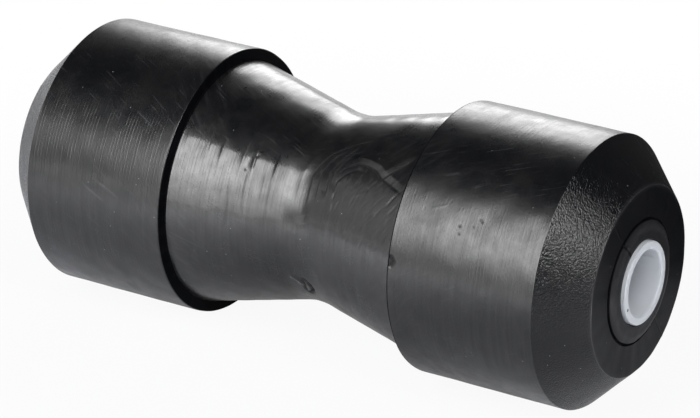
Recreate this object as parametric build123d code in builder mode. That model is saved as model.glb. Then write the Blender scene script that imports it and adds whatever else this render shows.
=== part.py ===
from build123d import *
from math import radians, tan
import os

# A keel roller for a boat trailer: a moulded rubber roller that turns on a nylon liner tube.
# Both pieces lie along Y, with the origin at the middle of the bore and +Z up.
# Lengths are millimetres. A name ending in _y is a distance from the middle along the axis.

# Rubber roller, along the axis
end_face_spacing = 194.0  # between the flat end faces
shoulder_spacing = 76.6  # between the shoulders on either side of the waist
end_bevel = 12.2  # both legs of the 45 degree bevel outside each drum

# Rubber roller, across the axis
drum_diameter = 80.0
shoulder_depth = 3.4  # step from a drum down to the edge of the waist
waist_slope = 13.6  # degrees between each cone of the waist and the axis

# Rounded corners of the mould
waist_root_radius = 25.0  # where the two cones meet and carry the keel
shoulder_edge_radius = 0.9

# Thrust boss round each mouth of the rubber bore, with a rounded rim and a crease at its foot
boss_diameter = 35.8
boss_height = 1.0
boss_crown_width = 2.8
boss_crease_width = 1.0
boss_crease_depth = 0.5
rubber_mouth_chamfer = 0.4

# Nylon liner tube
spindle_bore_diameter = 19.3
liner_wall = 2.55
liner_rim_chamfer = 0.3
liner_mouth_chamfer = 0.6

# Room for the rubber to turn on the liner, between the cheeks that clamp the liner's ends
running_clearance = 0.08  # on the radius
end_play = 1.0  # at each end

end_face_y = end_face_spacing / 2
shoulder_y = shoulder_spacing / 2
boss_top_y = end_face_y + boss_height
liner_rim_y = boss_top_y + end_play

drum_radius = drum_diameter / 2
waist_edge_radius = drum_radius - shoulder_depth
cones_meet_radius = waist_edge_radius - shoulder_y * tan(radians(waist_slope))
boss_radius = boss_diameter / 2
spindle_bore_radius = spindle_bore_diameter / 2
liner_radius = spindle_bore_radius + liner_wall
rubber_bore_radius = liner_radius + running_clearance

os.makedirs("parts", exist_ok=True)


def nearest_middle(vertices):
    """Put vertices in order of their distance from the roller's middle plane."""
    return vertices.sort_by(lambda vertex: abs(vertex.Y))


# The roller is one moulding: a half section, mirrored and turned about the axis
with BuildPart() as rubber_roller:
    with BuildSketch(Plane.XY) as section:
        with BuildLine():
            outside = Polyline(
                (cones_meet_radius, 0),
                (waist_edge_radius, shoulder_y),
                (drum_radius, shoulder_y),
                (drum_radius, end_face_y - end_bevel),
                (drum_radius - end_bevel, end_face_y),
                (boss_radius + boss_crease_width, end_face_y),
                (boss_radius, end_face_y - boss_crease_depth),
                (boss_radius, end_face_y),
            )
            boss_top = Line(
                (rubber_bore_radius, boss_top_y),
                (boss_radius - boss_crown_width, boss_top_y),
            )
            TangentArc(boss_top @ 1, outside @ 1, tangent=boss_top % 1)
            Polyline(boss_top @ 0, (rubber_bore_radius, 0), outside @ 0)
        make_face()
        mirror(about=Plane.XZ)

        waist_root = nearest_middle(section.vertices())[0]
        fillet(waist_root, waist_root_radius)
        drum_corners = section.vertices().group_by(Axis.X)[-1]
        fillet(nearest_middle(drum_corners)[:2], shoulder_edge_radius)
    revolve(axis=Axis.Y)

    bore_wall = rubber_roller.faces().filter_by(GeomType.CYLINDER).sort_by(SortBy.RADIUS)[0]
    chamfer(bore_wall.edges().filter_by(GeomType.CIRCLE), rubber_mouth_chamfer)

rubber_roller.part.label = "rubber_roller"
export_step(rubber_roller.part, "parts/rubber_roller.step")


# The liner stands proud of both bosses, so that a bracket clamps it and the rubber runs free
with BuildPart() as liner_tube:
    with BuildSketch(Plane.XZ):
        Circle(liner_radius)
        Circle(spindle_bore_radius, mode=Mode.SUBTRACT)
    extrude(amount=liner_rim_y, both=True)

    circles_by_radius = liner_tube.edges().filter_by(GeomType.CIRCLE).group_by(SortBy.RADIUS)
    chamfer(circles_by_radius[0], liner_mouth_chamfer)
    chamfer(circles_by_radius[-1], liner_rim_chamfer)

liner_tube.part.label = "liner_tube"
export_step(liner_tube.part, "parts/liner_tube.step")
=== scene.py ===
"""The looks of a keel roller: a moulded rubber roller on a nylon liner, on a pale studio floor.

Lengths inside the functions that shape a mesh are millimetres, and every mesh is made in metres.
A place on the roller is given by its distance along the axis and its angle round the axis. Angle 0
faces -X and angle 90 faces up.
"""

from functools import partial
from math import atan, ceil, cos, pi, radians, sin, tan

import bpy
import numpy as np
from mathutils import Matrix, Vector


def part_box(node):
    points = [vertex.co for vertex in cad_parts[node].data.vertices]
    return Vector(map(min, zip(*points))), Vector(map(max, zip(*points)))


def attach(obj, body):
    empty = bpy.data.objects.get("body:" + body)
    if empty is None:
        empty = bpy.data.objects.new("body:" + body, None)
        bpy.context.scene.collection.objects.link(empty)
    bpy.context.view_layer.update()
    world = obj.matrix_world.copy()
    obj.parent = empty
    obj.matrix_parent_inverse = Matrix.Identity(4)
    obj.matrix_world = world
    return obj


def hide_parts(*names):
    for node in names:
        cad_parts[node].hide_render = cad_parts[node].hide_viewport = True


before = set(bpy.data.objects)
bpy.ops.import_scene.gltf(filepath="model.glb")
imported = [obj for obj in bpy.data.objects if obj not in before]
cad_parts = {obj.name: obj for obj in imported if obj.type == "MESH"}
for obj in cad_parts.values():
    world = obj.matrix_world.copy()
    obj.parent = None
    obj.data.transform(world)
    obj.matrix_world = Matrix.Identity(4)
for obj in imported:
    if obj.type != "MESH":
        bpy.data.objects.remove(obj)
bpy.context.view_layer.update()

bl_info = {
    "name": "Keel Roller",
    "version": (1, 0, 0),
    "blender": (4, 5, 0),
    "location": "3D View > Sidebar > Keel Roller",
    "description": "Builds a rubber keel roller, its nylon liner and a pale studio",
    "category": "Add Mesh",
}

MM = 0.001
FULL_TURN = 2 * pi

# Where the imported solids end
roller_low, roller_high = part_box("rubber_roller")
liner_low, liner_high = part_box("liner_tube")


def linear(hex_colour):
    """Turn an sRGB hex colour into the linear values that shaders use."""
    channels = [int(hex_colour[start : start + 2], 16) / 255 for start in (1, 3, 5)]
    return tuple(c / 12.92 if c <= 0.04045 else ((c + 0.055) / 1.055) ** 2.4 for c in channels)


def with_alpha(colour):
    """Give a colour the fourth value that a colour socket takes."""
    return (*colour, 1.0)


# Sizes and colours that a user would change


def length_setting(name, description, metres):
    """A length, shown in the scene's own units."""
    return bpy.props.FloatProperty(name=name, description=description, default=metres, unit="LENGTH")


def colour_setting(name, description, hex_colour):
    """A colour, shown as a swatch."""
    return bpy.props.FloatVectorProperty(
        name=name,
        description=description,
        subtype="COLOR",
        default=linear(hex_colour),
        min=0.0,
        max=1.0,
    )


def brightness_setting(name, lamp, radiance):
    """The brightness of a lamp, where 1 is white."""
    description = f"Brightness of the {lamp}, where 1 is white"
    return bpy.props.FloatProperty(name=name, description=description, default=radiance, min=0.0)


class RubberRollerSettings(bpy.types.PropertyGroup):
    length: length_setting(
        "Length over bosses", "From boss top to boss top", roller_high.y - roller_low.y
    )
    drum_diameter: length_setting("Drum diameter", "Across either drum", roller_high.z - roller_low.z)
    flash_height: length_setting(
        "Flash height", "How far the line left by the mould's joint stands proud", 0.06 * MM
    )
    ripple_depth: length_setting(
        "Ripple depth", "Slow waves that the mould and the cooling left in the surface", 0.03 * MM
    )
    rubber_colour: colour_setting("Rubber colour", "The black of the clean rubber", "#08090c")
    bloom_colour: colour_setting(
        "Bloom colour", "The brownish film of wax that rubber sweats out", "#100f10"
    )
    scuff_colour: colour_setting("Scuff colour", "Pale rubbed strokes", "#323234")
    dust_colour: colour_setting("Dust colour", "Specks of dust on the rubber", "#6d7074")


class LinerTubeSettings(bpy.types.PropertyGroup):
    length: length_setting("Length", "From rim to rim", liner_high.y - liner_low.y)
    outer_diameter: length_setting("Outer diameter", "Across the tube", liner_high.z - liner_low.z)
    wall: length_setting("Wall", "Thickness of the tube's wall", 2.55 * MM)
    nylon_colour: colour_setting("Nylon colour", "Natural nylon, a cool pale grey", "#eceff3")


class StageSettings(bpy.types.PropertyGroup):
    floor_colour: colour_setting("Floor colour", "Pale paper under the roller", "#c6c8d0")
    front_light: brightness_setting("Front softbox", "softbox in front of the waist", 7.7)
    back_light: brightness_setting("Back softbox", "softbox behind the roller", 4.3)
    side_light: brightness_setting("Side softbox", "softbox that faces the near end", 12.0)
    low_light: brightness_setting("Low card", "card low in front of the waist", 3.0)
    card_light: brightness_setting("White card", "white card to the left", 0.65)
    far_light: brightness_setting("Far card", "card low in front of the far drum", 2.0)
    lap_light: brightness_setting("Lap card", "card that the laps beside the waist's root mirror", 1.5)
    end_light: brightness_setting("End card", "card on the floor before the near end", 3.0)
    floor_light: brightness_setting("Floor card", "card on the floor in front of the waist", 1.05)


# Meshes turned from an outline

# Fewest parts of an arc, and how near an arc a straight run has a point that keeps its shading flat
FEWEST_ARC_PARTS = 5
SHADING_GUARD = 0.12
NEARLY_STRAIGHT = radians(89.9)


def rounded_outline(corners, steps):
    """Turn a closed list of corners into points with arcs at the corners and short runs between.

    A corner is (along, out, rounding). steps has, for the run that follows each corner, the longest
    distance between two points.
    """
    count = len(corners)
    arcs = []
    for place, (along, out, rounding) in enumerate(corners):
        corner = np.array([along, out])
        before = np.array(corners[place - 1][:2]) - corner
        after = np.array(corners[(place + 1) % count][:2]) - corner
        before /= np.linalg.norm(before)
        after /= np.linalg.norm(after)
        half_angle = np.arccos(np.clip(before @ after, -1, 1)) / 2
        if rounding == 0 or half_angle > NEARLY_STRAIGHT:
            arcs.append([corner])
            continue
        tangent = rounding / tan(half_angle)
        to_centre = (before + after) / np.linalg.norm(before + after)
        centre = corner + to_centre * rounding / sin(half_angle)
        start = corner + before * tangent - centre
        end = corner + after * tangent - centre
        turn = np.arccos(np.clip(start @ end / rounding**2, -1, 1))
        arc_parts = max(FEWEST_ARC_PARTS, ceil(rounding * turn / steps[place]))
        shares = np.linspace(0, 1, arc_parts + 1)
        arcs.append(
            [
                centre
                + (start * sin(turn * (1 - share)) + end * sin(turn * share)) / sin(turn)
                for share in shares
            ]
        )
    points = []
    for place, arc in enumerate(arcs):
        points.extend(arc)
        start = arc[-1]
        run = arcs[(place + 1) % count][0] - start
        length = np.linalg.norm(run)
        parts = max(1, ceil(length / steps[place]))
        stops = list(np.arange(1, parts) / parts)
        if length > 4 * SHADING_GUARD:
            stops = sorted(stops + [SHADING_GUARD / length, 1 - SHADING_GUARD / length])
        points.extend(start + run * stop for stop in stops)
    return np.array(points)


def outward(points):
    """Give the direction out of the solid at each point of a closed outline."""
    run = np.roll(points, -1, axis=0) - np.roll(points, 1, axis=0)
    direction = np.stack([-run[:, 1], run[:, 0]], axis=1)
    return direction / np.linalg.norm(direction, axis=1)[:, None]


def turned_mesh(name, points, angles, relief, material_of):
    """Turn a closed outline about Y, move each point out by relief, and give strips their material.

    The wear that relief also gives is kept on the mesh, for the materials to read: 1 is torn open
    and -1 is rubbed pale.
    """
    normals = outward(points)
    along, angle = np.meshgrid(points[:, 0], angles, indexing="ij")
    out = np.meshgrid(points[:, 1], angles, indexing="ij")[0]
    height, wear = relief(along, out, angle)
    along = along + height * normals[:, :1]
    out = out + height * normals[:, 1:]
    corners = np.stack([-out * np.cos(angle), along, out * np.sin(angle)], axis=-1) * MM
    rings, segments = height.shape
    ring, segment = np.meshgrid(np.arange(rings), np.arange(segments), indexing="ij")
    next_ring = (ring + 1) % rings
    next_segment = (segment + 1) % segments
    faces = np.stack(
        [
            ring * segments + segment,
            ring * segments + next_segment,
            next_ring * segments + next_segment,
            next_ring * segments + segment,
        ],
        axis=-1,
    ).reshape(-1, 4)
    mesh = bpy.data.meshes.new(name)
    mesh.from_pydata(corners.reshape(-1, 3).tolist(), [], faces.tolist())
    middles = (points + np.roll(points, -1, axis=0)) / 2
    by_ring = [material_of(*middle) for middle in middles]
    mesh.polygons.foreach_set("material_index", np.repeat(by_ring, segments))
    mesh.polygons.foreach_set("use_smooth", np.ones(len(faces), dtype=bool))
    wear_layer = mesh.attributes.new("wear", "FLOAT", "POINT")
    wear_layer.data.foreach_set("value", wear.reshape(-1).astype(np.float32))
    mesh.update()
    piece = bpy.data.objects.new(name, mesh)
    bpy.context.scene.collection.objects.link(piece)
    return piece


# Shape of the roller, mm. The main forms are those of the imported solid. The corners are rounded
# more finely here, and the boss has a steeper flank, a narrower crown and a sharper crease.

DRUM_RADIUS = 40.0
END_FACE = 97.0
WAIST_END = 38.3
WAIST_EDGE_RADIUS = 36.6
WAIST_SLOPE = radians(13.6)
WAIST_ROOT_ROUNDING = 25.0
SHOULDER_EDGE_ROUNDING = 0.6
SHOULDER_FOOT_ROUNDING = 0.3
BEVEL = 12.2
BEVEL_EDGE_ROUNDING = 0.4
BOSS_RADIUS = 17.9
BOSS_HEIGHT = 1.0
BOSS_FLANK = 0.25
BOSS_RIM_ROUNDING = 0.25
BOSS_CROWN_WIDTH = 2.2
BOSS_CROWN_POINTS = 8
CREASE_WIDTH = 0.6
CREASE_DEPTH = 0.7
CREASE_ROUNDING = 0.15
RUBBER_BORE_RADIUS = 12.28
RUBBER_MOUTH = 0.4
RUBBER_MOUTH_ROUNDING = 0.1

# The two halves of the mould met in this plane through the axis
PARTING_ANGLE = radians(56)

# Materials of the roller, in the order of its slots
WAIST, DRUM, BEVELLED, END, SHOULDER_AND_SHADE = range(5)

# Where one finish gives way to the next: along the axis, and for the last one out from it
POLISH_END = WAIST_END - 0.4
# The dull shoulder finish runs 0.6 mm over the near drum's edge as a painted shadow line, and only 0.12
# mm over the far drum's
NEAR_SHOULDER_END = WAIST_END + 0.6
FAR_SHOULDER_END = WAIST_END + 0.12
EDGE_OF_END_FACE = END_FACE - 0.4
BEVEL_TOP = DRUM_RADIUS - 0.15


def roller_outline(half_length, drum_radius):
    """Go round the roller's section, from the waist over one end and back through the bore.

    A corner here is (along, out, rounding, longest distance between the points of the next run).
    """
    end_face = half_length - BOSS_HEIGHT
    root_radius = WAIST_EDGE_RADIUS - WAIST_END * tan(WAIST_SLOPE)
    crown_height = BOSS_HEIGHT - BOSS_FLANK
    crown_radius = (BOSS_CROWN_WIDTH**2 + crown_height**2) / (2 * crown_height)
    crown_turn = atan(BOSS_CROWN_WIDTH / (crown_radius - crown_height))
    crown_out = BOSS_RADIUS - BOSS_CROWN_WIDTH
    crown = [
        (
            half_length - crown_radius * (1 - cos(crown_turn * share)),
            crown_out + crown_radius * sin(crown_turn * share),
            BOSS_RIM_ROUNDING if share == 1 else 0,
            0.6,
        )
        for share in np.linspace(1, 0, BOSS_CROWN_POINTS)
    ]
    half = [
        (WAIST_END, WAIST_EDGE_RADIUS, SHOULDER_FOOT_ROUNDING, 0.8),
        (WAIST_END, drum_radius, SHOULDER_EDGE_ROUNDING, 0.4),
        (end_face - BEVEL, drum_radius, BEVEL_EDGE_ROUNDING, 1.0),
        (end_face, drum_radius - BEVEL, BEVEL_EDGE_ROUNDING, 1.2),
        (end_face, BOSS_RADIUS + CREASE_WIDTH, CREASE_ROUNDING, 0.5),
        (end_face - CREASE_DEPTH, BOSS_RADIUS, CREASE_ROUNDING, 0.5),
        *crown,
        (half_length, RUBBER_BORE_RADIUS + RUBBER_MOUTH, RUBBER_MOUTH_ROUNDING, 1.0),
        (half_length - RUBBER_MOUTH, RUBBER_BORE_RADIUS, RUBBER_MOUTH_ROUNDING, 12.0),
    ]
    far = [corner[:3] for corner in half]
    far_steps = [corner[3] for corner in half]
    near = [(-along, out, rounding) for along, out, rounding in reversed(far)]
    waist_step = 0.3
    near_steps = [*reversed(far_steps[:-1]), waist_step]
    middle = (0, root_radius, WAIST_ROOT_ROUNDING)
    return rounded_outline([middle, *far, *near], [waist_step, *far_steps, *near_steps])


def roller_material(along, out):
    """Say which material a strip of the roller has, from the middle of the strip."""
    from_middle = abs(along)
    # The crease takes the dull shoulder finish as painted shade in the groove
    in_crease = abs(out - BOSS_RADIUS - CREASE_WIDTH / 2) < CREASE_WIDTH / 2
    if in_crease and from_middle < END_FACE - 0.05:
        return SHOULDER_AND_SHADE
    if out < BOSS_RADIUS + CREASE_WIDTH or from_middle > END_FACE - 0.01:
        return END
    if from_middle < POLISH_END:
        return WAIST
    if -NEAR_SHOULDER_END < along < FAR_SHOULDER_END:
        return SHOULDER_AND_SHADE
    if from_middle > EDGE_OF_END_FACE or from_middle < WAIST_END + 1 or out > BEVEL_TOP:
        return DRUM
    return BEVELLED


def roller_angles():
    """Go round the roller in steps: close ones on the side with the laps, closest at the joint."""
    close_part = np.radians(np.arange(-50, 72, 0.5))
    even_part = np.radians(np.arange(72, 310, 1.25))
    joint_part = np.radians(np.arange(-1.5, 1.6, 0.25)) + PARTING_ANGLE
    angles = np.concatenate([close_part, even_part, joint_part, joint_part + pi])
    angles = np.unique(np.round(angles, 5))
    return np.sort(np.where(angles > pi, angles - FULL_TURN, angles))


# Marks on the roller


def waves(rng, along, angle, count, lengths, turns):
    """Add up slow waves with the given range of lengths along the axis and of turns round it."""
    total = np.zeros_like(along)
    for _ in range(count):
        length = rng.uniform(*lengths)
        lobes = rng.integers(*turns)
        phase = rng.uniform(0, FULL_TURN)
        direction = rng.choice([-1, 1])
        total += np.cos(FULL_TURN * along / length * direction + lobes * angle + phase)
    return total / np.sqrt(count)


def bell(distance, width):
    """Give 1 in the middle of a mark, fading to 0 beside it."""
    return np.exp(-((distance / width) ** 2))


def follow(along, up, path):
    """Give each place's distance from a path, positive on its left, and its share of the way."""
    nearest = np.full_like(along, 1e3)
    side = np.ones_like(along)
    share = np.zeros_like(along)
    runs = len(path) - 1
    for number, (start, end) in enumerate(zip(path, path[1:])):
        run_along, run_up = end[0] - start[0], end[1] - start[1]
        from_along, from_up = along - start[0], up - start[1]
        part = (from_along * run_along + from_up * run_up) / (run_along**2 + run_up**2)
        part = np.clip(part, 0, 1)
        distance = np.hypot(from_along - part * run_along, from_up - part * run_up)
        closer = distance < nearest
        nearest = np.where(closer, distance, nearest)
        left = run_along * from_up - run_up * from_along
        side = np.where(closer, np.sign(left), side)
        share = np.where(closer, (number + part) / runs, share)
    return nearest * side, share


def follow_round(along, angle, radius, path):
    """Follow a path of (along, degrees) on the unrolled surface."""
    unrolled = [(place, radius * radians(turn)) for place, turn in path]
    return follow(along, radius * angle, unrolled)


def faded_ends(share, length=0.2):
    """Let a mark grow out of nothing at both ends of its path."""
    return np.clip(np.minimum(share, 1 - share) / length, 0, 1)


def on_path(along, angle, radius, path, width):
    """Give 1 in the middle of a path, fading to 0 beside it and at both ends."""
    distance, share = follow_round(along, angle, radius, path)
    return bell(distance, width) * faded_ends(share)


# Width of the sharp edge of a lap, mm
LAP_EDGE = 0.5


def lap(along, angle, radius, path, reach):
    """Let one layer of rubber run under another: a sharp edge, and a slope to its right.

    Both the depth of the slope and the torn edge itself come back, each from 0 to 1.
    """
    distance, share = follow_round(along, angle, radius, path)
    under = -distance
    cliff = np.clip((under + LAP_EDGE / 2) / LAP_EDGE, 0, 1)
    cliff = cliff * cliff * (3 - 2 * cliff)
    ends = faded_ends(share)
    slope = np.clip(1 - np.maximum(under, 0) / reach, 0, 1)
    edge = bell(under - 0.1, 0.4)
    return slope * cliff * ends, edge * ends


# Radius at which the marks of each part are laid out, mm
NEAR_CONE_RADIUS = 31
FAR_CONE_RADIUS = 30
ROOT_RADIUS = 28

# Laps where layers of rubber met in the mould, all in the near cone but the last: depth, reach of
# the slope, and path as (along, degrees)
FLOW_LAPS = [
    (0.32, 3.4, [
        (-2.9, 18), (-3.1, 29), (-2.7, 41), (-3.4, 46),
        (-4.1, 50), (-5.7, 57), (-9.4, 62), (-12.6, 65),
    ]),
    (0.30, 2.7, [(-5.9, 26), (-5.6, 35), (-5.4, 44), (-6.6, 51), (-9.0, 57), (-12.0, 61)]),
    (0.40, 3.2, [(-8.9, 29), (-9.0, 34), (-8.5, 45), (-10.4, 54), (-12.3, 60), (-14.4, 63)]),
    (0.24, 1.8, [(-10.6, 33), (-10.5, 39), (-10.3, 45), (-11.5, 52), (-13.3, 58), (-16.0, 61)]),
    (0.46, 2.2, [
        (-10.7, 41), (-13.2, 49.4), (-16.8, 52.2), (-20, 51.2),
        (-24, 49), (-26.9, 45.2), (-31, 42.4), (-36, 39),
    ]),
    (0.44, 2.0, [(-26.0, 44), (-29.3, 48.4), (-31.8, 51.8), (-35.5, 58)]),
    (0.28, 2.4, [(-12.4, 34), (-12.0, 40), (-14.0, 45), (-17.0, 48), (-20.5, 47)]),
    (0.12, 2.0, [(15.1, 35.1), (15.2, 38.5), (15.4, 41.8), (14.2, 44.0)]),
]

# Feather marks that run up the near cone below the laps: the first and last place of each. More are
# scattered round these at random.
FEATHERS = [
    [(-15.7, 19.8), (-18.0, 29.6)],
    [(-22.2, 31.5), (-24.2, 40.3)],
    [(-17.5, 36.0), (-19.1, 42.9)],
    [(-18.5, 12.6), (-20.7, 17.7)],
    [(-30.7, 30.5), (-34.4, 38.2)],
    [(-12.9, 23.6), (-12.2, 35.5)],
    [(-16.9, 31.4), (-17.7, 39.3)],
    [(-25.5, 28.0), (-27.6, 35.6)],
]
SCATTERED_FEATHERS = 80
FEATHER_WIDTH = 0.3
FEATHER_DEPTH_STEP = 0.02

# Lobes along the upper side of the far cone, where the turning tool chattered: middle and half
# width of each, the height of all, and the degrees round the axis at which they are highest
LOBES = [(33.6, 3.9), (27.5, 2.2), (22.0, 3.3), (17.1, 1.6), (12.2, 3.3)]
LOBE_HEIGHT = 0.2
LOBE_TURN = 41
LOBE_SPREAD = 6.5

# Fine lines that the lathe left round the far cone and the root
LATHE_LINES = [
    [(20.6, 27), (20.3, 12), (20.6, -2)],
    [(16.0, 33), (15.9, 10)],
    [(11.1, 36), (11.0, 18)],
    [(8.7, 33), (8.8, 6)],
    [(-2.0, 40), (-2.1, 8)],
]
LATHE_LINE_WIDTH = 0.22
LATHE_LINE_DEPTH = 0.02

# The gouge beside the waist's root: its open side, the flap's edge, and the lip that it pushed up
GOUGE = [
    (-0.9, -25.6), (-2.4, -27.9), (-3.4, -30.6), (-3.7, -33.5),
    (-3.3, -37.2), (-2.0, -40.5), (-0.9, -40.4),
]
GOUGE_FLAP = [(-1.2, -26.7), (-1.3, -31.3), (-0.8, -36.0), (-0.9, -40.1)]
GOUGE_LIP = [(3.0, -26.2), (1.2, -27.8), (-0.1, -30.0), (-0.3, -33.5)]
GOUGE_WIDTH = 0.5
GOUGE_DEPTH = 0.9
FLAP_WIDTH = 0.35
FLAP_DEPTH = 0.4
LIP_WIDTH = 0.7
LIP_HEIGHT = 0.35

# The nick in the near shoulder's edge
NICK = [(-38.6, 13.6), (-39.5, 12.4), (-40.2, 11.2), (-39.6, 9.6), (-39.0, 8.2)]
NICK_WIDTH = 0.75
NICK_DEPTH = 0.5

# Dents as (radius, along, degrees, size): five in the near drum, then one in the far cone. Each is
# as deep as this share of its size.
DENTS = [
    (40, -58.5, 31.4, 0.38),
    (40, -58.9, 28.3, 0.34),
    (40, -64.3, 35.8, 0.38),
    (40, -64.9, 35.0, 0.3),
    (40, -62.6, 32.4, 0.25),
    (31.4, 17.0, 34.1, 0.3),
]
DENT_DEPTH = 0.4

# Strokes rubbed pale, as (along, degrees): two on the near drum, then two on the far drum
PALE_STROKES = [
    [(-48.4, 50.2), (-52.9, 53.0)],
    [(-48.5, 35.3), (-53.4, 38.6)],
    [(66.0, 11.0), (57.0, 4.7)],
    [(61.0, 13.4), (52.5, 8.3)],
]
STROKE_WIDTH = 0.3
STROKE_HEIGHT = 0.03

# Depth of the shorter waves, which bend the edges of the mirrored light, and of the chatter
SHORT_WAVE_DEPTH = 0.015
CHATTER_DEPTH = 0.012

# The waves sink the surface by this many times their depth, to keep nearly all of it inside the
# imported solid
WAVES_SUNK = 2

# The mould's joint: the width of its line, and the groove that it left in the boss
FLASH_WIDTH = 0.3
JOINT_GROOVE_WIDTH = 0.4
JOINT_GROOVE_DEPTH = 0.25

# The ring of the boss that rubs hardest on the bracket, and the rubbed edge of the end face, whose pale
# line is also a painted highlight where that edge catches the light
RUBBED_RING_RADIUS = 16.2
RUBBED_RING_WIDTH = 0.9
RUBBED_AND_HIGHLIT_EDGE_RADIUS = DRUM_RADIUS - BEVEL
RUBBED_AND_HIGHLIT_EDGE_WIDTH = 0.3


def scattered_feather(rng):
    """Draw a feather mark at random, leaning further over the further it is from the root."""
    low_along, low_turn = rng.uniform(-34, -9), rng.uniform(8, 40)
    length = rng.uniform(5, 17)
    lean = np.clip(0.02 * (-low_along - 7), 0.03, 0.4) * rng.uniform(0.7, 1.3)
    bend = (low_along - 0.4 * lean * length, low_turn + 0.5 * length)
    high = (low_along - lean * length, low_turn + length)
    return [(low_along, low_turn), bend, high]


def surface_waves(rng, along, angle, ripple):
    """Waves of the whole surface, chatter round the cones, and the far cone's lobes."""
    slow = waves(rng, along, angle, count=30, lengths=(14, 60), turns=(2, 16))
    short = waves(rng, along, angle, count=24, lengths=(6, 16), turns=(8, 30))
    chatter = waves(rng, along, angle, count=10, lengths=(5, 9), turns=(6, 15))
    lobes = np.zeros_like(along)
    for middle, half_width in LOBES:
        lobes = np.maximum(lobes, 1 - ((along - middle) / half_width) ** 2)
    lobes = np.sqrt(lobes) * bell(np.degrees(angle) - LOBE_TURN, LOBE_SPREAD)
    on_waist = np.clip((WAIST_END - np.abs(along)) / 2, 0, 1)
    everywhere = ripple * (slow - WAVES_SUNK) + SHORT_WAVE_DEPTH * (short - WAVES_SUNK)
    return everywhere + on_waist * (CHATTER_DEPTH * chatter + LOBE_HEIGHT * lobes)


def joint_line(along, out, angle, flash):
    """The line of the mould's joint, on two sides of the roller, strongest on the end faces."""
    strength = np.where(np.abs(along) > END_FACE - 0.1, 1.0, 0.15)
    height = np.zeros_like(along)
    for side in (PARTING_ANGLE, PARTING_ANGLE - pi):
        away = np.abs((angle - side + pi) % FULL_TURN - pi) * out
        height += flash * strength * bell(away, FLASH_WIDTH)
    return height


def boss_marks(rng, along, out, angle):
    """Rub the boss pale, in specks, and cut the joint's groove into it: height and wear."""
    ring = bell(out - RUBBED_RING_RADIUS, RUBBED_RING_WIDTH)
    speckle = rng.uniform(-1, 1, along.shape)
    groove = bell(np.abs(angle - PARTING_ANGLE) * out, JOINT_GROOVE_WIDTH)
    rubbed = 0.42 + ring * (0.25 + 0.3 * speckle)
    return -JOINT_GROOVE_DEPTH * groove, 1.5 * groove - rubbed


def cone_marks(along, angle, feathers):
    """Laps, feathers, lathe lines and the gouge: their height, and how torn they are."""
    height = np.zeros_like(along)
    torn = np.zeros_like(along)
    for depth, reach, path in FLOW_LAPS:
        slope, edge = lap(along, angle, NEAR_CONE_RADIUS, path, reach)
        height -= depth * slope
        torn = np.maximum(torn, min(1, 2.5 * depth) * edge)
    for number, path in enumerate(feathers):
        strength = number % 3
        stroke = on_path(along, angle, NEAR_CONE_RADIUS, path, FEATHER_WIDTH)
        height -= FEATHER_DEPTH_STEP * (1 + strength) * stroke
        torn = np.maximum(torn, 0.2 * strength * stroke)
    for path in LATHE_LINES:
        line = on_path(along, angle, FAR_CONE_RADIUS, path, LATHE_LINE_WIDTH)
        height -= LATHE_LINE_DEPTH * line
        torn = np.maximum(torn, 0.3 * line)
    gouge = on_path(along, angle, ROOT_RADIUS, GOUGE, GOUGE_WIDTH)
    flap = on_path(along, angle, ROOT_RADIUS, GOUGE_FLAP, FLAP_WIDTH)
    lip = on_path(along, angle, ROOT_RADIUS, GOUGE_LIP, LIP_WIDTH)
    height += LIP_HEIGHT * lip - GOUGE_DEPTH * gouge - FLAP_DEPTH * flap
    return height, np.maximum(torn, np.maximum(gouge, 0.8 * flap))


def dent_marks(along, angle):
    """Dents: their height, and how torn they are."""
    height = np.zeros_like(along)
    torn = np.zeros_like(along)
    for radius, place, turn, size in DENTS:
        away = np.hypot(along - place, radius * (angle - radians(turn)))
        dent = bell(away, size)
        height -= DENT_DEPTH * size * dent
        torn = np.maximum(torn, 0.8 * dent)
    return height, torn


def drum_marks(along, angle):
    """The nick and the pale strokes: their height, and their wear."""
    nick = on_path(along, angle, DRUM_RADIUS, NICK, NICK_WIDTH)
    height = -NICK_DEPTH * nick
    wear = 1.2 * nick
    for path in PALE_STROKES:
        stroke = on_path(along, angle, DRUM_RADIUS, path, STROKE_WIDTH)
        height += STROKE_HEIGHT * stroke
        wear -= 0.6 * stroke
    return height, wear


def roller_relief(settings):
    """Return the function that gives the roller's height over its plain outline, and its wear."""
    flash = settings.flash_height / MM
    ripple = settings.ripple_depth / MM
    rng = np.random.default_rng(7)
    feathers = [*FEATHERS, *(scattered_feather(rng) for _ in range(SCATTERED_FEATHERS))]

    def relief(along, out, angle):
        from_middle = np.abs(along)
        outside = out > RUBBER_BORE_RADIUS + 2
        on_boss = (out < BOSS_RADIUS + 0.01) & (from_middle > END_FACE + 0.05)
        on_cones = (from_middle < WAIST_END) & outside
        on_drums = out > DRUM_RADIUS - 1
        height = outside * surface_waves(rng, along, angle, ripple) - flash
        height += outside * joint_line(along, out, angle, flash)
        boss_height, boss_wear = boss_marks(rng, along, out, angle)
        height += np.where(on_boss & outside, boss_height, 0)
        wear = np.where(on_boss, boss_wear, 0)
        # Pale line round the end face's edge: rubbed, and also a painted highlight
        rubbed_and_highlit_edge = bell(out - RUBBED_AND_HIGHLIT_EDGE_RADIUS, RUBBED_AND_HIGHLIT_EDGE_WIDTH)
        wear -= 0.6 * rubbed_and_highlit_edge * (from_middle > END_FACE - 1)
        for region, (mark_height, mark_wear) in (
            (on_cones, cone_marks(along, angle, feathers)),
            (outside, dent_marks(along, angle)),
            (on_drums, drum_marks(along, angle)),
        ):
            height += np.where(region, mark_height, 0)
            wear += np.where(region, mark_wear, 0)
        return height, np.clip(wear, -1, 1)

    return relief


# Materials


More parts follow.
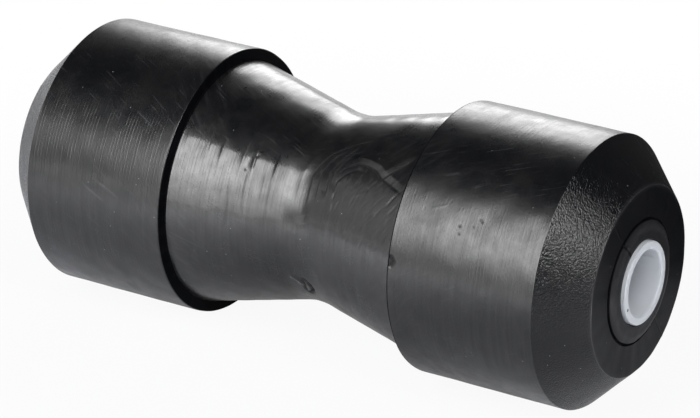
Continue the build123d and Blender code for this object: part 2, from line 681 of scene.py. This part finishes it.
def add_node(tree, kind, sockets, **settings):
    """Add a node, set its own settings, set or link its input sockets, and return its outputs.

    sockets has names or numbers with their values, or is a list of values for the first sockets.
    """
    node = tree.nodes.new(kind)
    for name, value in settings.items():
        setattr(node, name, value)
    if isinstance(sockets, list):
        sockets = dict(enumerate(sockets))
    for name, value in sockets.items():
        if isinstance(value, bpy.types.NodeSocket):
            tree.links.new(value, node.inputs[name])
        else:
            node.inputs[name].default_value = value
    return node.outputs


def emptied(tree):
    """Empty a node tree, and return the function that adds a node to it."""
    tree.nodes.clear()
    return partial(add_node, tree)


def new_material(name):
    """Make an empty material, and return it with the function that adds a node to it."""
    material = bpy.data.materials.new(name)
    material.use_nodes = True
    return material, emptied(material.node_tree)


def per_metre(size_in_mm):
    """Turn the size of a pattern's feature into a texture scale."""
    return 1 / (size_in_mm * MM)


class RubberFinish:
    """How one part of the mould, or the work after moulding, left the rubber: matte by default."""

    def __init__(
        self, roughness, turning, brushing, grain, shine, gloss=(0.0, 0.0, 0.2), mottle=0.3, scuffs=0.1
    ):
        self.roughness = roughness  # lowest and highest
        self.gloss = gloss  # lowest and highest weight of the polished skin, and its roughness
        self.mottle = mottle  # share of the bloom's colour at its strongest
        self.turning = turning  # depth of the turned lines and the distance between them, mm
        self.brushing = brushing  # depth of the slanting brush marks, mm
        self.grain = grain  # depth, size along the axis and length round it, mm
        self.shine = shine  # specular level, where 0.5 is plain
        self.scuffs = scuffs  # how strongly the pale scuffs show


# One finish for each material of the roller, in the order of its slots
RUBBER_FINISHES = {
    # Polished steel left a skin that mirrors the light's edge, dulled in patches and brushed
    "natural_rubber_polished_mould": RubberFinish(
        roughness=(0.24, 0.42),
        gloss=(0.34, 0.76, 0.10),
        mottle=0.6,
        turning=(0.014, 0.9),
        brushing=0.009,
        grain=(0.010, 0.4, 1.0),
        shine=0.45,
        scuffs=0.5,
    ),
    # Turned lines just over a millimetre apart, satin
    "natural_rubber_turned_mould": RubberFinish(
        roughness=(0.26, 0.42),
        gloss=(0.18, 0.52, 0.17),
        mottle=0.5,
        turning=(0.022, 1.05),
        brushing=0.008,
        grain=(0.022, 0.4, 0.9),
        shine=0.4,
        scuffs=0.35,
    ),
    # Left rough by the cutter: short torn marks that glitter under the light, drawn coarser than
    # the real ones, which are too fine to show
    "natural_rubber_torn_cut": RubberFinish(
        roughness=(0.13, 0.24),
        turning=(0.003, 0.9),
        brushing=0.003,
        grain=(0.21, 0.32, 0.55),
        shine=0.45,
    ),
    # Matte, sooty black where the mould was never polished
    "natural_rubber_matte_mould": RubberFinish(
        roughness=(0.34, 0.46),
        turning=(0.002, 1.1),
        brushing=0.002,
        grain=(0.010, 0.6, 1.5),
        shine=0.17,
    ),
    # The shoulders' faces are duller still. In the boss's crease and over the near drum's edge this
    # near-reflectionless finish is painted shade.
    "natural_rubber_sooty_mould": RubberFinish(
        roughness=(0.45, 0.55),
        turning=(0.002, 1.1),
        brushing=0.002,
        grain=(0.010, 0.6, 1.5),
        shine=0.02,
    ),
}
RUBBER_IOR = 1.52

# Patterns that run round the roller are laid on a cylinder of this radius, mm
PATTERN_RADIUS = 36.0


def moulded_rubber(name, settings, finish):
    """Black natural rubber from a steel mould, with the finish of one part of that mould."""
    material, node = new_material(name)
    place = node("ShaderNodeTexCoord", [])["Object"]
    axes = node("ShaderNodeSeparateXYZ", [place])
    across = node("ShaderNodeCombineXYZ", [axes["X"], 0.0, axes["Z"]])[0]
    round_axis = node("ShaderNodeVectorMath", [across], operation="NORMALIZE")[0]
    along_mm = node("ShaderNodeMath", [axes["Y"], 1 / MM], operation="MULTIPLY")[0]
    from_middle = node("ShaderNodeMath", [along_mm], operation="ABSOLUTE")[0]

    def laid_round(direction, along_length, round_length, detail, offset=0.0):
        """Noise whose features have one length along the axis and another round it, in mm.

        The offset moves it along the axis, so that no two patterns match.
        """
        scale = PATTERN_RADIUS / round_length
        shift = [along_mm, 1 / along_length, offset]
        along_shift = node("ShaderNodeMath", shift, operation="MULTIPLY_ADD")[0]
        along_part = node("ShaderNodeCombineXYZ", {"Y": along_shift})[0]
        laying = [direction, (scale, scale, scale), along_part]
        laid = node("ShaderNodeVectorMath", laying, operation="MULTIPLY_ADD")[0]
        return node("ShaderNodeTexNoise", {"Vector": laid, "Scale": 1.0, "Detail": detail})["Fac"]

    def twisted(turn_per_mm):
        """The direction from the axis, turned ever further towards the ends, for slanting marks."""
        angle = node("ShaderNodeMath", [from_middle, turn_per_mm], operation="MULTIPLY")[0]
        turned = {"Vector": round_axis, "Angle": angle}
        return node("ShaderNodeVectorRotate", turned, rotation_type="Y_AXIS")[0]

    # Bloom: clouds of wax a centimetre or two across, which dull and tint the black
    clouds = node(
        "ShaderNodeTexNoise",
        {"Vector": place, "Scale": per_metre(15), "Detail": 4.0, "Roughness": 0.6, "Distortion": 0.6},
    )["Fac"]

    # Blotches: patches of a few millimetres where the skin is duller or glossier
    blotches = node(
        "ShaderNodeTexNoise",
        {"Vector": place, "Scale": per_metre(4.5), "Detail": 8.0, "Roughness": 0.72, "Distortion": 0.2},
    )["Fac"]

    # Dashes: short stretches of the turned lines. Streaks: broad and narrow bands round the roller
    # where the skin is duller or glossier.
    dashes = laid_round(round_axis, 0.5, 8.0, detail=3.0)
    streaks = laid_round(round_axis, 0.8, 30.0, detail=4.0, offset=20.0)

    # Brush marks: fine strokes that lean over, steeply, and break up the edges of the light. Rubbed
    # places: broad pale strokes.
    brushed = laid_round(twisted(-0.05), 10.0, 0.55, detail=3.0)
    leaning = laid_round(twisted(-0.0135), 9.0, 0.45, detail=3.0, offset=40.0)
    rubbed = laid_round(twisted(-0.03), 7.0, 1.8, detail=4.0, offset=60.0)

    # Soft masks from 0 to 1: each pattern with the values at which its mask starts and is full. The
    # last one is the distance from a shoulder, since only the places near it are rubbed.
    past_shoulder = node("ShaderNodeMath", [from_middle, 38.0], operation="SUBTRACT")[0]
    from_shoulder = node("ShaderNodeMath", [past_shoulder], operation="ABSOLUTE")[0]
    cloudiness, dullness, dashes, streaks, scuffs, rubbed, by_shoulder = [
        node("ShaderNodeMapRange", [pattern, first, full], interpolation_type="SMOOTHSTEP")[0]
        for pattern, first, full in (
            (clouds, 0.36, 0.66),
            (blotches, 0.3, 0.7),
            (dashes, 0.38, 0.62),
            (streaks, 0.32, 0.68),
            (leaning, 0.62, 0.72),
            (rubbed, 0.48, 0.72),
            (from_shoulder, 16.0, 2.0),
        )
    ]
    rubbed = node("ShaderNodeMath", [rubbed, by_shoulder], operation="MULTIPLY")[0]

    # Turned lines: the mould was cut on a lathe. They come and go, and show most on the far drum.
    turning_depth, turning_pitch = finish.turning
    wander = node("ShaderNodeTexNoise", {"Vector": place, "Scale": per_metre(22), "Detail": 2.0})
    line_place = node("ShaderNodeMath", [wander["Fac"], 1.6, along_mm], operation="MULTIPLY_ADD")[0]
    line_turn = node("ShaderNodeMath", [line_place, FULL_TURN / turning_pitch], operation="MULTIPLY")
    line_wave = node("ShaderNodeMath", [line_turn[0]], operation="SINE")[0]
    line_top = node("ShaderNodeMath", [line_wave, 0.0], operation="MAXIMUM")[0]
    ridges = node("ShaderNodeMath", [line_top, 3.0], operation="POWER")[0]
    line_strength = node("ShaderNodeMapRange", [along_mm, -45.0, 45.0, 0.35, 0.8])[0]
    line_mask = node("ShaderNodeMath", [dashes, line_strength], operation="MULTIPLY")[0]
    turned_lines = node("ShaderNodeMath", [ridges, line_mask], operation="MULTIPLY")[0]

    # Grain: short marks that run round the roller
    grain_depth, grain_along, grain_round = finish.grain
    grain = laid_round(round_axis, grain_along, grain_round, detail=2.0, offset=80.0)

    # Dust: specks a third of a millimetre across, a centimetre or two apart
    specks = node("ShaderNodeTexVoronoi", {"Vector": place, "Scale": per_metre(4.2), "Randomness": 1.0})
    dust = node("ShaderNodeMath", [specks["Distance"], 0.038], operation="LESS_THAN")[0]

    # Wear that the mesh carries: torn places are dull, rubbed ones pale, and the pale line round the
    # end face's edge is also a painted highlight
    wear = node("ShaderNodeAttribute", [], attribute_name="wear")["Fac"]
    torn = node("ShaderNodeMath", [wear, 0.0], operation="MAXIMUM")[0]
    rubbed_and_highlit_wear = node("ShaderNodeMath", [wear, -1.0], operation="MULTIPLY")[0]
    pale_wear_and_highlight = node("ShaderNodeMath", [rubbed_and_highlit_wear, 0.0], operation="MAXIMUM")[0]

    # Colour: black, bloom over it, then pale marks, among them the painted highlight round the end
    # face's edge, then dust
    bloom = node("ShaderNodeMath", [cloudiness, finish.mottle], operation="MULTIPLY")[0]
    pale_marks = node("ShaderNodeMath", [rubbed, 0.5, scuffs], operation="MULTIPLY_ADD")[0]
    pale = node(
        "ShaderNodeMath",
        [pale_marks, finish.scuffs, pale_wear_and_highlight],
        operation="MULTIPLY_ADD",
        use_clamp=True,
    )[0]
    colour = with_alpha(settings.rubber_colour)
    for share, layer in (
        (bloom, settings.bloom_colour),
        (pale, settings.scuff_colour),
        (dust, settings.dust_colour),
    ):
        colour = node("ShaderNodeMix", {0: share, 6: colour, 7: with_alpha(layer)}, data_type="RGBA")[2]

    # Roughness: from the bloom and the blotches, and rougher where it is scuffed, torn or dusty
    lowest, highest = finish.roughness
    half_cloudy = node("ShaderNodeMath", [cloudiness, 0.5], operation="MULTIPLY")[0]
    roughness = node("ShaderNodeMath", [dullness, 0.5, half_cloudy], operation="MULTIPLY_ADD")[0]
    roughness = node(
        "ShaderNodeMath", [roughness, highest - lowest, lowest], operation="MULTIPLY_ADD"
    )[0]
    for mark, added in ((scuffs, 0.1), (torn, 0.45), (dust, 0.4)):
        roughness = node(
            "ShaderNodeMath", [mark, added, roughness], operation="MULTIPLY_ADD", use_clamp=True
        )[0]

    # Skin: the polished layer, weaker where it is dull and gone where it is torn
    weakest, strongest, skin_roughness = finish.gloss
    half_streaks = node("ShaderNodeMath", [streaks, 0.5], operation="MULTIPLY")[0]
    dull_parts = node("ShaderNodeMath", [dullness, 0.5, half_streaks], operation="MULTIPLY_ADD")[0]
    whole_skin = node(
        "ShaderNodeMath", [dull_parts, weakest - strongest, strongest], operation="MULTIPLY_ADD"
    )[0]
    unbroken = node("ShaderNodeMath", [1.0, torn], operation="SUBTRACT")[0]
    skin = node("ShaderNodeMath", [whole_skin, unbroken], operation="MULTIPLY", use_clamp=True)[0]

    # Height: every pattern that can be felt
    height = node("ShaderNodeMath", [turned_lines, turning_depth], operation="MULTIPLY")[0]
    for pattern, depth in (
        (brushed, finish.brushing),
        (leaning, finish.brushing),
        (blotches, finish.brushing),
        (grain, grain_depth),
    ):
        height = node("ShaderNodeMath", [pattern, depth, height], operation="MULTIPLY_ADD")[0]
    bump = node("ShaderNodeBump", {"Strength": 1.0, "Distance": MM, "Height": height})[0]

    shader = node(
        "ShaderNodeBsdfPrincipled",
        {
            "Base Color": colour,
            "Roughness": roughness,
            "IOR": RUBBER_IOR,
            "Specular IOR Level": finish.shine,
            "Coat Weight": skin,
            "Coat Roughness": skin_roughness,
            "Coat IOR": RUBBER_IOR,
            "Normal": bump,
            "Coat Normal": bump,
        },
    )[0]
    node("ShaderNodeOutputMaterial", {"Surface": shader})
    return material


# A speck of grit moulded into the near rim, drawn as a small ball of dark colour, in metres
SPECK_CENTRE = (-10.2 * MM, -98.9 * MM, -4.3 * MM)
SPECK_RADIUS = 0.45 * MM

# Places of the liner painted greyer as shade: the depth in mm at which the grey starts and is full, its
# strength and its colour. Painted shade greys the bore deeper in, and greys the rims more than the lip
# to tone down the side softbox's light on them.
SHADED_PLACES = [(2.0, 11.0, 0.9, "#a0a4aa"), (0.9, 0.3, 0.8, "#c0c4c9")]


def moulded_nylon(name, settings):
    """Natural nylon, moulded and faced off: cloudy, a little see-through, with a dull shine."""
    material, node = new_material(name)
    place = node("ShaderNodeTexCoord", [])["Object"]
    axes = node("ShaderNodeSeparateXYZ", [place])

    # Haze: clouds just under a centimetre across
    haze = node("ShaderNodeTexNoise", {"Vector": place, "Scale": per_metre(9), "Detail": 3.0})["Fac"]
    layers = [(node("ShaderNodeMath", [haze, 0.35], operation="MULTIPLY")[0], "#c8ccd2")]

    # Depth below the rim, mm
    rim = settings.length / 2 / MM
    from_middle = node("ShaderNodeMath", [axes["Y"]], operation="ABSOLUTE")[0]
    depth = node("ShaderNodeMath", [from_middle, -1 / MM, rim], operation="MULTIPLY_ADD")[0]
    # Painted shade: grey that deepens into the bore, and grey on the rims
    for first, full, strength, grey in SHADED_PLACES:
        reach = [depth, first, full, 0.0, strength]
        shaded = node("ShaderNodeMapRange", reach, interpolation_type="SMOOTHSTEP")[0]
        layers.append((shaded, grey))

    from_speck = node("ShaderNodeVectorMath", [place, SPECK_CENTRE], operation="DISTANCE")["Value"]
    speck = node("ShaderNodeMath", [from_speck, SPECK_RADIUS], operation="LESS_THAN")[0]
    layers.append((speck, "#26282a"))

    colour = with_alpha(settings.nylon_colour)
    for share, layer in layers:
        mix = {0: share, 6: colour, 7: with_alpha(linear(layer))}
        colour = node("ShaderNodeMix", mix, data_type="RGBA")[2]

    # Marks of the saw on the rims and drawn lines along the bore, about a millimetre apart
    across = per_metre(1.2)
    along = per_metre(12)
    stretched = node("ShaderNodeVectorMath", [place, (across, along, across)], operation="MULTIPLY")[0]
    lines = node("ShaderNodeTexNoise", {"Vector": stretched, "Scale": 1.0, "Detail": 2.0})["Fac"]
    height = node("ShaderNodeMath", [lines, 0.03], operation="MULTIPLY")[0]
    bump = node("ShaderNodeBump", {"Strength": 1.0, "Distance": MM, "Height": height})[0]
    roughness = node("ShaderNodeMath", [haze, 0.15, 0.38], operation="MULTIPLY_ADD")[0]
    shader = node(
        "ShaderNodeBsdfPrincipled",
        {
            "Base Color": colour,
            "Roughness": roughness,
            "IOR": 1.53,
            "Subsurface Weight": 1.0,
            "Subsurface Radius": (1.0, 1.0, 1.0),
            "Subsurface Scale": 2.5 * MM,
            "Normal": bump,
        },
    )[0]
    node("ShaderNodeOutputMaterial", {"Surface": shader})
    return material


def pale_paper(name, settings):
    """Matte background paper. Camera, mirror and glass rays see it nearly white, with shadows."""
    material, node = new_material(name)
    white = with_alpha(linear("#ffffff"))
    glow = node("ShaderNodeEmission", {"Color": white, "Strength": 1.0})[0]
    rays = node("ShaderNodeLightPath", [])
    place = node("ShaderNodeTexCoord", [])["Object"]
    level = node("ShaderNodeVectorMath", [place, (1, 1, 0)], operation="MULTIPLY")[0]
    from_middle = node("ShaderNodeVectorMath", [level], operation="LENGTH")["Value"]

    # How far a place lies out from the middle: the painted shade under the waist, the floor round the
    # roller and the floor beyond it, each from 0 at its first distance to 1 at its last, metres
    clear_of_waist, clear_of_roller, away = [
        node("ShaderNodeMapRange", [from_middle, near, far], interpolation_type="SMOOTHSTEP")[0]
        for near, far in ((0.025, 0.085), (0.08, 0.26), (0.14, 0.5))
    ]
    seen = node("ShaderNodeMath", [clear_of_roller, 0.07, 0.93], operation="MULTIPLY_ADD")[0]
    mirrored = node("ShaderNodeMath", [away, 0.5, 0.26], operation="MULTIPLY_ADD")[0]
    mirror_rays = node(
        "ShaderNodeMath",
        [rays["Is Glossy Ray"], rays["Is Transmission Ray"]],
        operation="ADD",
        use_clamp=True,
    )[0]

    # The paper below the waist is painted darker for mirror rays, a painted shade that the waist
    # mirrors
    under_waist = node("ShaderNodeMath", [1.0, clear_of_waist], operation="SUBTRACT")[0]
    shade = node("ShaderNodeMath", [under_waist, mirror_rays], operation="MULTIPLY")[0]
    shade_share = node("ShaderNodeMath", [shade, 0.65], operation="MULTIPLY")[0]
    colour = node(
        "ShaderNodeMix",
        {0: shade_share, 6: with_alpha(settings.floor_colour), 7: with_alpha(linear("#000000"))},
        data_type="RGBA",
    )[2]
    paper = node("ShaderNodeBsdfDiffuse", {"Color": colour, "Roughness": 0.0})[0]
    mirrored_share = node("ShaderNodeMath", [mirror_rays, mirrored], operation="MULTIPLY")[0]
    share = node(
        "ShaderNodeMath",
        [rays["Is Camera Ray"], seen, mirrored_share],
        operation="MULTIPLY_ADD",
        use_clamp=True,
    )[0]
    mixed = node("ShaderNodeMixShader", [share, paper, glow])[0]
    node("ShaderNodeOutputMaterial", {"Surface": mixed})
    return material


def dark_reflection_card(name):
    """Plain matte grey, for the sheet whose only work is a painted dark reflection in the near end
    face.
    """
    material, node = new_material(name)
    grey = node("ShaderNodeBsdfDiffuse", {"Color": with_alpha(linear("#4a4a4a"))})[0]
    node("ShaderNodeOutputMaterial", {"Surface": grey})
    return material


# Operators


class KEELROLLER_OT_rubber_roller(bpy.types.Operator):
    """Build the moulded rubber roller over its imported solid"""

    bl_idname = "keelroller.rubber_roller"
    bl_label = "Rubber roller"

    def execute(self, context):
        settings = context.scene.keel_roller_rubber
        points = roller_outline(settings.length / 2 / MM, settings.drum_diameter / 2 / MM)
        piece = turned_mesh(
            "rubber_roller_moulding",
            points,
            roller_angles(),
            roller_relief(settings),
            roller_material,
        )
        for name, finish in RUBBER_FINISHES.items():
            piece.data.materials.append(moulded_rubber(name, settings, finish))

        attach(piece, "roller")
        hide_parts("rubber_roller")
        return {"FINISHED"}


# Shape of the liner, mm
RIM_CHAMFER = 0.3
RIM_ROUNDING = 0.45
MOUTH_CHAMFER = 0.45
MOUTH_ROUNDING = 0.5
LINER_STEPS_ROUND = 192

# Depth of the liner's slow waves, and how far they sink its surface, mm
LINER_WAVE_DEPTH = 0.012
LINER_SUNK = 0.03


def liner_outline(half_length, outer, inner):
    """Go round the liner's wall. A corner also has the longest step in the run after it."""
    corners = [
        (-half_length + RIM_CHAMFER, outer, RIM_ROUNDING, 8.0),
        (half_length - RIM_CHAMFER, outer, RIM_ROUNDING, 0.3),
        (half_length, outer - RIM_CHAMFER, RIM_ROUNDING, 0.3),
        (half_length, inner + MOUTH_CHAMFER, MOUTH_ROUNDING, 0.3),
        (half_length - MOUTH_CHAMFER, inner, MOUTH_ROUNDING, 4.0),
        (-half_length + MOUTH_CHAMFER, inner, MOUTH_ROUNDING, 0.3),
        (-half_length, inner + MOUTH_CHAMFER, MOUTH_ROUNDING, 0.3),
        (-half_length, outer - RIM_CHAMFER, RIM_ROUNDING, 0.3),
    ]
    return rounded_outline([corner[:3] for corner in corners], [corner[3] for corner in corners])


class KEELROLLER_OT_liner_tube(bpy.types.Operator):
    """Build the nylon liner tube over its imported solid"""

    bl_idname = "keelroller.liner_tube"
    bl_label = "Liner tube"

    def execute(self, context):
        settings = context.scene.keel_roller_liner
        outer = settings.outer_diameter / 2 / MM
        points = liner_outline(settings.length / 2 / MM, outer, outer - settings.wall / MM)
        rng = np.random.default_rng(3)

        def relief(along, out, angle):
            waviness = waves(rng, along, angle, count=12, lengths=(20, 90), turns=(2, 9))
            return LINER_WAVE_DEPTH * waviness - LINER_SUNK, np.zeros_like(along)

        angles = np.linspace(-pi, pi, LINER_STEPS_ROUND, endpoint=False)
        piece = turned_mesh("liner_tube_moulding", points, angles, relief, lambda along, out: 0)
        piece.data.materials.append(moulded_nylon("natural_nylon_moulded", settings))
        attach(piece, "liner")
        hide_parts("liner_tube")
        return {"FINISHED"}


# The studio, in metres

# Watts for each square metre at which an area lamp is as bright as white
LAMP_POWER = 4


def flat_sheet(name, corners, material):
    """Lay or stand a sheet with four corners."""
    mesh = bpy.data.meshes.new(name)
    mesh.from_pydata(corners, [], [(0, 1, 2, 3)])
    mesh.materials.append(material)
    sheet = bpy.data.objects.new(name, mesh)
    bpy.context.scene.collection.objects.link(sheet)
    return sheet


def softbox(name, radiance, centre, target, size, fades):
    """Hang a rectangular softbox that faces the target.

    radiance is its brightness in the middle, where 1 is white. fades has the share of the box over
    which the light dies away towards its left, right, lower and upper edge, seen from behind it.
    """
    width, height = size
    lamp = bpy.data.lights.new(name, "AREA")
    lamp.shape = "RECTANGLE"
    lamp.size = width
    lamp.size_y = height
    lamp.energy = LAMP_POWER * width * height * radiance
    lamp.use_nodes = True
    node = emptied(lamp.node_tree)
    place = node("ShaderNodeNewGeometry", [])["Parametric"]
    sides = node("ShaderNodeSeparateXYZ", [place])
    left, right, lower, upper = fades
    strength = 1.0
    for side, edge, fade in (
        (sides["X"], 0.0, left),
        (sides["X"], 1.0, right),
        (sides["Y"], 0.0, lower),
        (sides["Y"], 1.0, upper),
    ):
        if fade == 0:
            continue
        ramp = node(
            "ShaderNodeMapRange", [side, edge, abs(edge - fade)], interpolation_type="SMOOTHSTEP"
        )[0]
        strength = node("ShaderNodeMath", [ramp, strength], operation="MULTIPLY")[0]
    glow = node("ShaderNodeEmission", {"Strength": strength})[0]
    node("ShaderNodeOutputLight", {"Surface": glow})
    holder = bpy.data.objects.new(name, lamp)
    bpy.context.scene.collection.objects.link(holder)
    holder.location = centre
    holder.visible_camera = False
    towards = Vector(target) - Vector(centre)
    holder.rotation_euler = towards.to_track_quat("-Z", "Y").to_euler()


def light_world(scene):
    """Near black, so that the rubber keeps its dark band, but white to the camera."""
    scene.world = bpy.data.worlds.new("studio")
    scene.world.use_nodes = True
    node = emptied(scene.world.node_tree)
    rays = node("ShaderNodeLightPath", [])
    white = with_alpha(linear("#ffffff"))
    dim, bright = [
        node("ShaderNodeBackground", {"Color": white, "Strength": strength})[0]
        for strength in (0.03, 1.0)
    ]
    mixed = node("ShaderNodeMixShader", [rays["Is Camera Ray"], dim, bright])[0]
    node("ShaderNodeOutputWorld", {"Surface": mixed})


def hang_softboxes(settings, floor_height):
    """Hang the softboxes and cards, and lay two cards on the floor."""
    softbox(
        "front_softbox", settings.front_light, centre=(-0.50, 0.175, 0.36),
        target=(0, 0.175, 0.36), size=(0.55, 0.72), fades=(0.56, 0.35, 0.36, 0.0),
    )
    softbox(
        "low_card", settings.low_light, centre=(-0.48, 0.03, 0.05),
        target=(0, 0.03, 0.05), size=(0.24, 0.19), fades=(0.3, 0.3, 0.25, 0.4),
    )
    softbox(
        "far_card", settings.far_light, centre=(-0.52, 0.38, 0.01),
        target=(0, 0.38, 0.01), size=(0.24, 0.16), fades=(0.4, 0.4, 0.4, 0.4),
    )
    softbox(
        "lap_card", settings.lap_light, centre=(-0.52, 0.51, 0.30),
        target=(0, 0.51, 0.30), size=(0.22, 0.32), fades=(0.4, 0.4, 0.4, 0.3),
    )
    softbox(
        "back_softbox", settings.back_light, centre=(0.73, 0.285, 0.36),
        target=(0, 0, 0.20), size=(0.56, 0.72), fades=(0.72, 0.2, 0.26, 0.3),
    )
    softbox(
        "side_softbox", settings.side_light, centre=(-0.36, -0.85, 0.55),
        target=(0, -0.09, 0), size=(0.50, 0.42), fades=(0.2, 0.2, 0.2, 0.2),
    )
    softbox(
        "left_card", settings.card_light, centre=(-0.35, 0.75, 0.25),
        target=(0, 0, 0), size=(0.70, 0.60), fades=(0.3, 0.3, 0.0, 0.2),
    )
    softbox(
        "end_card", settings.end_light, centre=(0.0, -0.20, floor_height + MM),
        target=(0.0, -0.20, 1.0), size=(0.12, 0.11), fades=(0.4, 0.4, 0.3, 0.3),
    )
    softbox(
        "floor_card", settings.floor_light, centre=(-0.25, 0.13, floor_height + MM),
        target=(-0.25, 0.13, 1.0), size=(0.46, 0.42), fades=(0.45, 0.0, 0.35, 0.5),
    )


def set_up_camera(scene):
    """Put the camera at the photograph's angle and framing, with a long lens."""
    camera_data = bpy.data.cameras.new("camera")
    camera_data.sensor_width = 36.0
    camera_data.lens = 200.92
    camera = bpy.data.objects.new("camera", camera_data)
    scene.collection.objects.link(camera)
    turn = radians(211.91)
    rise = radians(23.66)
    back = Vector((cos(turn) * cos(rise), sin(turn) * cos(rise), sin(rise)))
    camera.location = Vector((-0.8832, -0.55188, 0.45599))
    camera.rotation_euler = back.to_track_quat("Z", "Y").to_euler()
    scene.camera = camera


class KEELROLLER_OT_stage(bpy.types.Operator):
    """Lay the pale floor, hang the softboxes and set up the camera"""

    bl_idname = "keelroller.stage"
    bl_label = "Studio"

    def execute(self, context):
        settings = context.scene.keel_roller_stage
        scene = context.scene

        # A wide sheet of paper under the drums
        half_floor = 4.0
        floor_height = roller_low.z
        around = ((-1, -1), (1, -1), (1, 1), (-1, 1))
        floor = flat_sheet(
            "floor",
            [(half_floor * x, half_floor * y, floor_height) for x, y in around],
            pale_paper("background_paper_matte", settings),
        )

        light_world(scene)
        hang_softboxes(settings, floor_height)

        # A grey card beside the near end, which only its mirror image can show. It paints a darker
        # reflection into the near end face.
        card = flat_sheet(
            "dark_reflection_card",
            [(-0.02, -0.245, -0.04), (0.16, -0.02, -0.04), (0.16, -0.02, 0.16), (-0.02, -0.245, 0.16)],
            dark_reflection_card("grey_card_matte"),
        )
        card.visible_camera = False
        card.visible_diffuse = False
        card.visible_shadow = False
        card.visible_transmission = False

        set_up_camera(scene)
        scene.view_settings.view_transform = "Standard"
        return {"FINISHED"}


class KEELROLLER_PT_panel(bpy.types.Panel):
    """Lists the roller's pieces and their settings"""

    bl_idname = "KEELROLLER_PT_panel"
    bl_label = "Keel Roller"
    bl_space_type = "VIEW_3D"
    bl_region_type = "UI"
    bl_category = "Keel Roller"

    def draw(self, context):
        for operator, settings in (
            (KEELROLLER_OT_rubber_roller, context.scene.keel_roller_rubber),
            (KEELROLLER_OT_liner_tube, context.scene.keel_roller_liner),
            (KEELROLLER_OT_stage, context.scene.keel_roller_stage),
        ):
            box = self.layout.box()
            for name in settings.bl_rna.properties.keys():
                if name not in ("rna_type", "name"):
                    box.prop(settings, name)
            box.operator(operator.bl_idname)


CLASSES = (
    RubberRollerSettings,
    LinerTubeSettings,
    StageSettings,
    KEELROLLER_OT_rubber_roller,
    KEELROLLER_OT_liner_tube,
    KEELROLLER_OT_stage,
    KEELROLLER_PT_panel,
)


def register():
    for cls in CLASSES:
        bpy.utils.register_class(cls)
    bpy.types.Scene.keel_roller_rubber = bpy.props.PointerProperty(type=RubberRollerSettings)
    bpy.types.Scene.keel_roller_liner = bpy.props.PointerProperty(type=LinerTubeSettings)
    bpy.types.Scene.keel_roller_stage = bpy.props.PointerProperty(type=StageSettings)


def unregister():
    del bpy.types.Scene.keel_roller_stage
    del bpy.types.Scene.keel_roller_liner
    del bpy.types.Scene.keel_roller_rubber
    for cls in reversed(CLASSES):
        bpy.utils.unregister_class(cls)


def main():
    """Build everything in order."""
    register()
    bpy.ops.keelroller.rubber_roller()
    bpy.ops.keelroller.liner_tube()
    bpy.ops.keelroller.stage()


if __name__ == "__main__":
    main()
